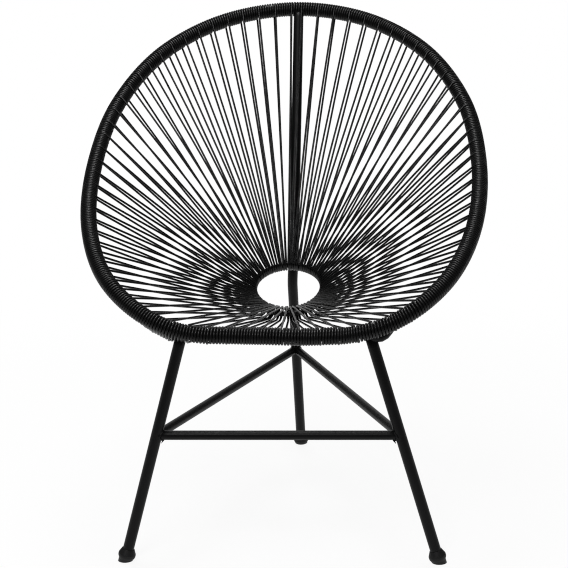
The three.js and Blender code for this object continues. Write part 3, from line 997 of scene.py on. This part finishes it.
def floor_glow(tree, place, rays):
    """How brightly that white shines: fully, or darker towards the camera where it is mirrored."""
    depth = add_node(tree, "ShaderNodeSeparateXYZ")
    tree.links.new(place, depth.inputs[0])
    mirrored = rise(tree, depth.outputs["Y"], DARK_TO, DARK_FROM, DARK_SIDE)
    return choose(tree, rays.outputs["Is Glossy Ray"], 1.0, mirrored)


# %% Floor
FLOOR_RADIUS = 6.0
FLOOR_PAINT = (0.86, 0.86, 0.86, 1)
FLOOR_ROUGHNESS = 0.9


def floor_finish():
    finish, tree, paint = start_finish("pale_floor", specular=0.1)
    paint.inputs["Base Color"].default_value = FLOOR_PAINT
    paint.inputs["Roughness"].default_value = FLOOR_ROUGHNESS
    rays = add_node(tree, "ShaderNodeLightPath")
    place = add_node(tree, "ShaderNodeTexCoord").outputs["Object"]
    white = add_node(tree, "ShaderNodeEmission", values={"Color": (1, 1, 1, 1)})
    tree.links.new(floor_glow(tree, place, rays), white.inputs["Strength"])
    mixed = add_node(tree, "ShaderNodeMixShader")
    tree.links.new(floor_whiteness(tree, place, rays), mixed.inputs["Fac"])
    tree.links.new(paint.outputs[0], mixed.inputs[1])
    tree.links.new(white.outputs[0], mixed.inputs[2])
    tree.links.new(mixed.outputs[0], tree.nodes["Material Output"].inputs["Surface"])
    return finish


def round_floor(steps=96):
    turns = np.linspace(0, FULL_TURN, steps, endpoint=False)
    edge = [(FLOOR_RADIUS * math.cos(t), FLOOR_RADIUS * math.sin(t), 0) for t in turns]
    mesh = bpy.data.meshes.new("floor")
    mesh.from_pydata(edge, [], [list(range(steps))])
    mesh.materials.append(floor_finish())
    floor = bpy.data.objects.new("floor", mesh)
    bpy.context.scene.collection.objects.link(floor)
    return floor


floor = round_floor()
print("metres across the floor:", round(floor.dimensions.x, 2))

# %% [markdown]
# The room is the world's background. Black plastic is nearly black where it faces the camera and
# pale where it lies flat and mirrors the wall behind, and a world that is one even white could not
# show both. What the camera sees directly stays plain white.

# %% Room
ROOM_LIGHT = 0.35
WALL_STARTS = 0.7
WALL_FULL = 0.95


def light_room():
    world = bpy.data.worlds.new("pale_room")
    bpy.context.scene.world = world
    world.use_nodes = True
    tree = world.node_tree
    glow = tree.nodes["Background"]
    glow.inputs["Color"].default_value = (1, 1, 1, 1)
    rays = add_node(tree, "ShaderNodeLightPath")
    way = add_node(tree, "ShaderNodeSeparateXYZ")
    tree.links.new(add_node(tree, "ShaderNodeTexCoord").outputs["Generated"], way.inputs[0])
    wall = rise(tree, way.outputs["Y"], WALL_STARTS, WALL_FULL, DARK_SIDE)
    room = choose(tree, rays.outputs["Is Glossy Ray"], ROOM_LIGHT, wall)
    seen = combine(tree, "MAXIMUM", rays.outputs["Is Camera Ray"],
                   rays.outputs["Is Transmission Ray"])
    tree.links.new(choose(tree, seen, room, 1.0), glow.inputs["Strength"])
    return world


print("room made:", light_room().name)

# %% [markdown]
# Two wide lamps, one overhead and one in front, draw the soft lines along the cord and the tubes.
# The wider a lamp, the softer its line, and a sun or a point lamp would draw a hard white thread
# on every strand.

# %% Lamps
LAMP_WIDTH = 0.9
MIDDLE_OF_CHAIR = (0, 0, 0.45)
LAMPS = (("lamp_over", (-0.2, 0.2, 2.9), 50), ("lamp_front", (-0.5, -2.4, 2.6), 40))


def soft_lamp(name, place, watts):
    light = bpy.data.lights.new(name, "AREA")
    light.shape, light.size, light.energy = "SQUARE", LAMP_WIDTH, watts
    lamp = bpy.data.objects.new(name, light)
    lamp.location = place
    aim = Vector(MIDDLE_OF_CHAIR) - Vector(place)
    lamp.rotation_euler = aim.to_track_quat("-Z", "Y").to_euler()
    bpy.context.scene.collection.objects.link(lamp)


for name, place, watts in LAMPS:
    soft_lamp(name, place, watts)

# %% [markdown]
# ## Camera
#
# The photograph looks at the chair from the front, a little above the seat, with a long lens. The
# place and the aim were fitted to the chair's outline. The camera is turned by three angles, as
# on a tripod: swing, tilt, and a small roll. The photograph is sharp to the pixel, so the filter
# that blends each pixel with its neighbours is set narrower than Blender's own.

# %% Camera
CAMERA_PLACE = (0.2053, -3.0366, 1.1601)
SWING = math.radians(-4.018)
TILT = math.radians(13.856)
ROLL = math.radians(-1.216)
LENS_MM = 108.24
SENSOR_MM = 36
FILTER_PIXELS = 1.1

view = bpy.data.cameras.new("photo_camera")
view.sensor_width = SENSOR_MM
view.lens = LENS_MM
camera = bpy.data.objects.new("photo_camera", view)
bpy.context.scene.collection.objects.link(camera)
ahead = np.array((math.sin(SWING) * math.cos(TILT), math.cos(SWING) * math.cos(TILT),
                  -math.sin(TILT)))
level = np.array((math.cos(SWING), -math.sin(SWING), 0))
upright = np.cross(level, ahead)
right = level * math.cos(ROLL) + upright * math.sin(ROLL)
top = upright * math.cos(ROLL) - level * math.sin(ROLL)
pose = Matrix((right, top, -ahead)).transposed().to_4x4()
pose.translation = CAMERA_PLACE
camera.matrix_world = pose
bpy.context.scene.camera = camera
bpy.context.scene.view_settings.view_transform = "Standard"
bpy.context.scene.cycles.filter_width = FILTER_PIXELS
print("metres from the camera to the middle of the chair:",
      round((camera.location - Vector(MIDDLE_OF_CHAIR)).length, 2))
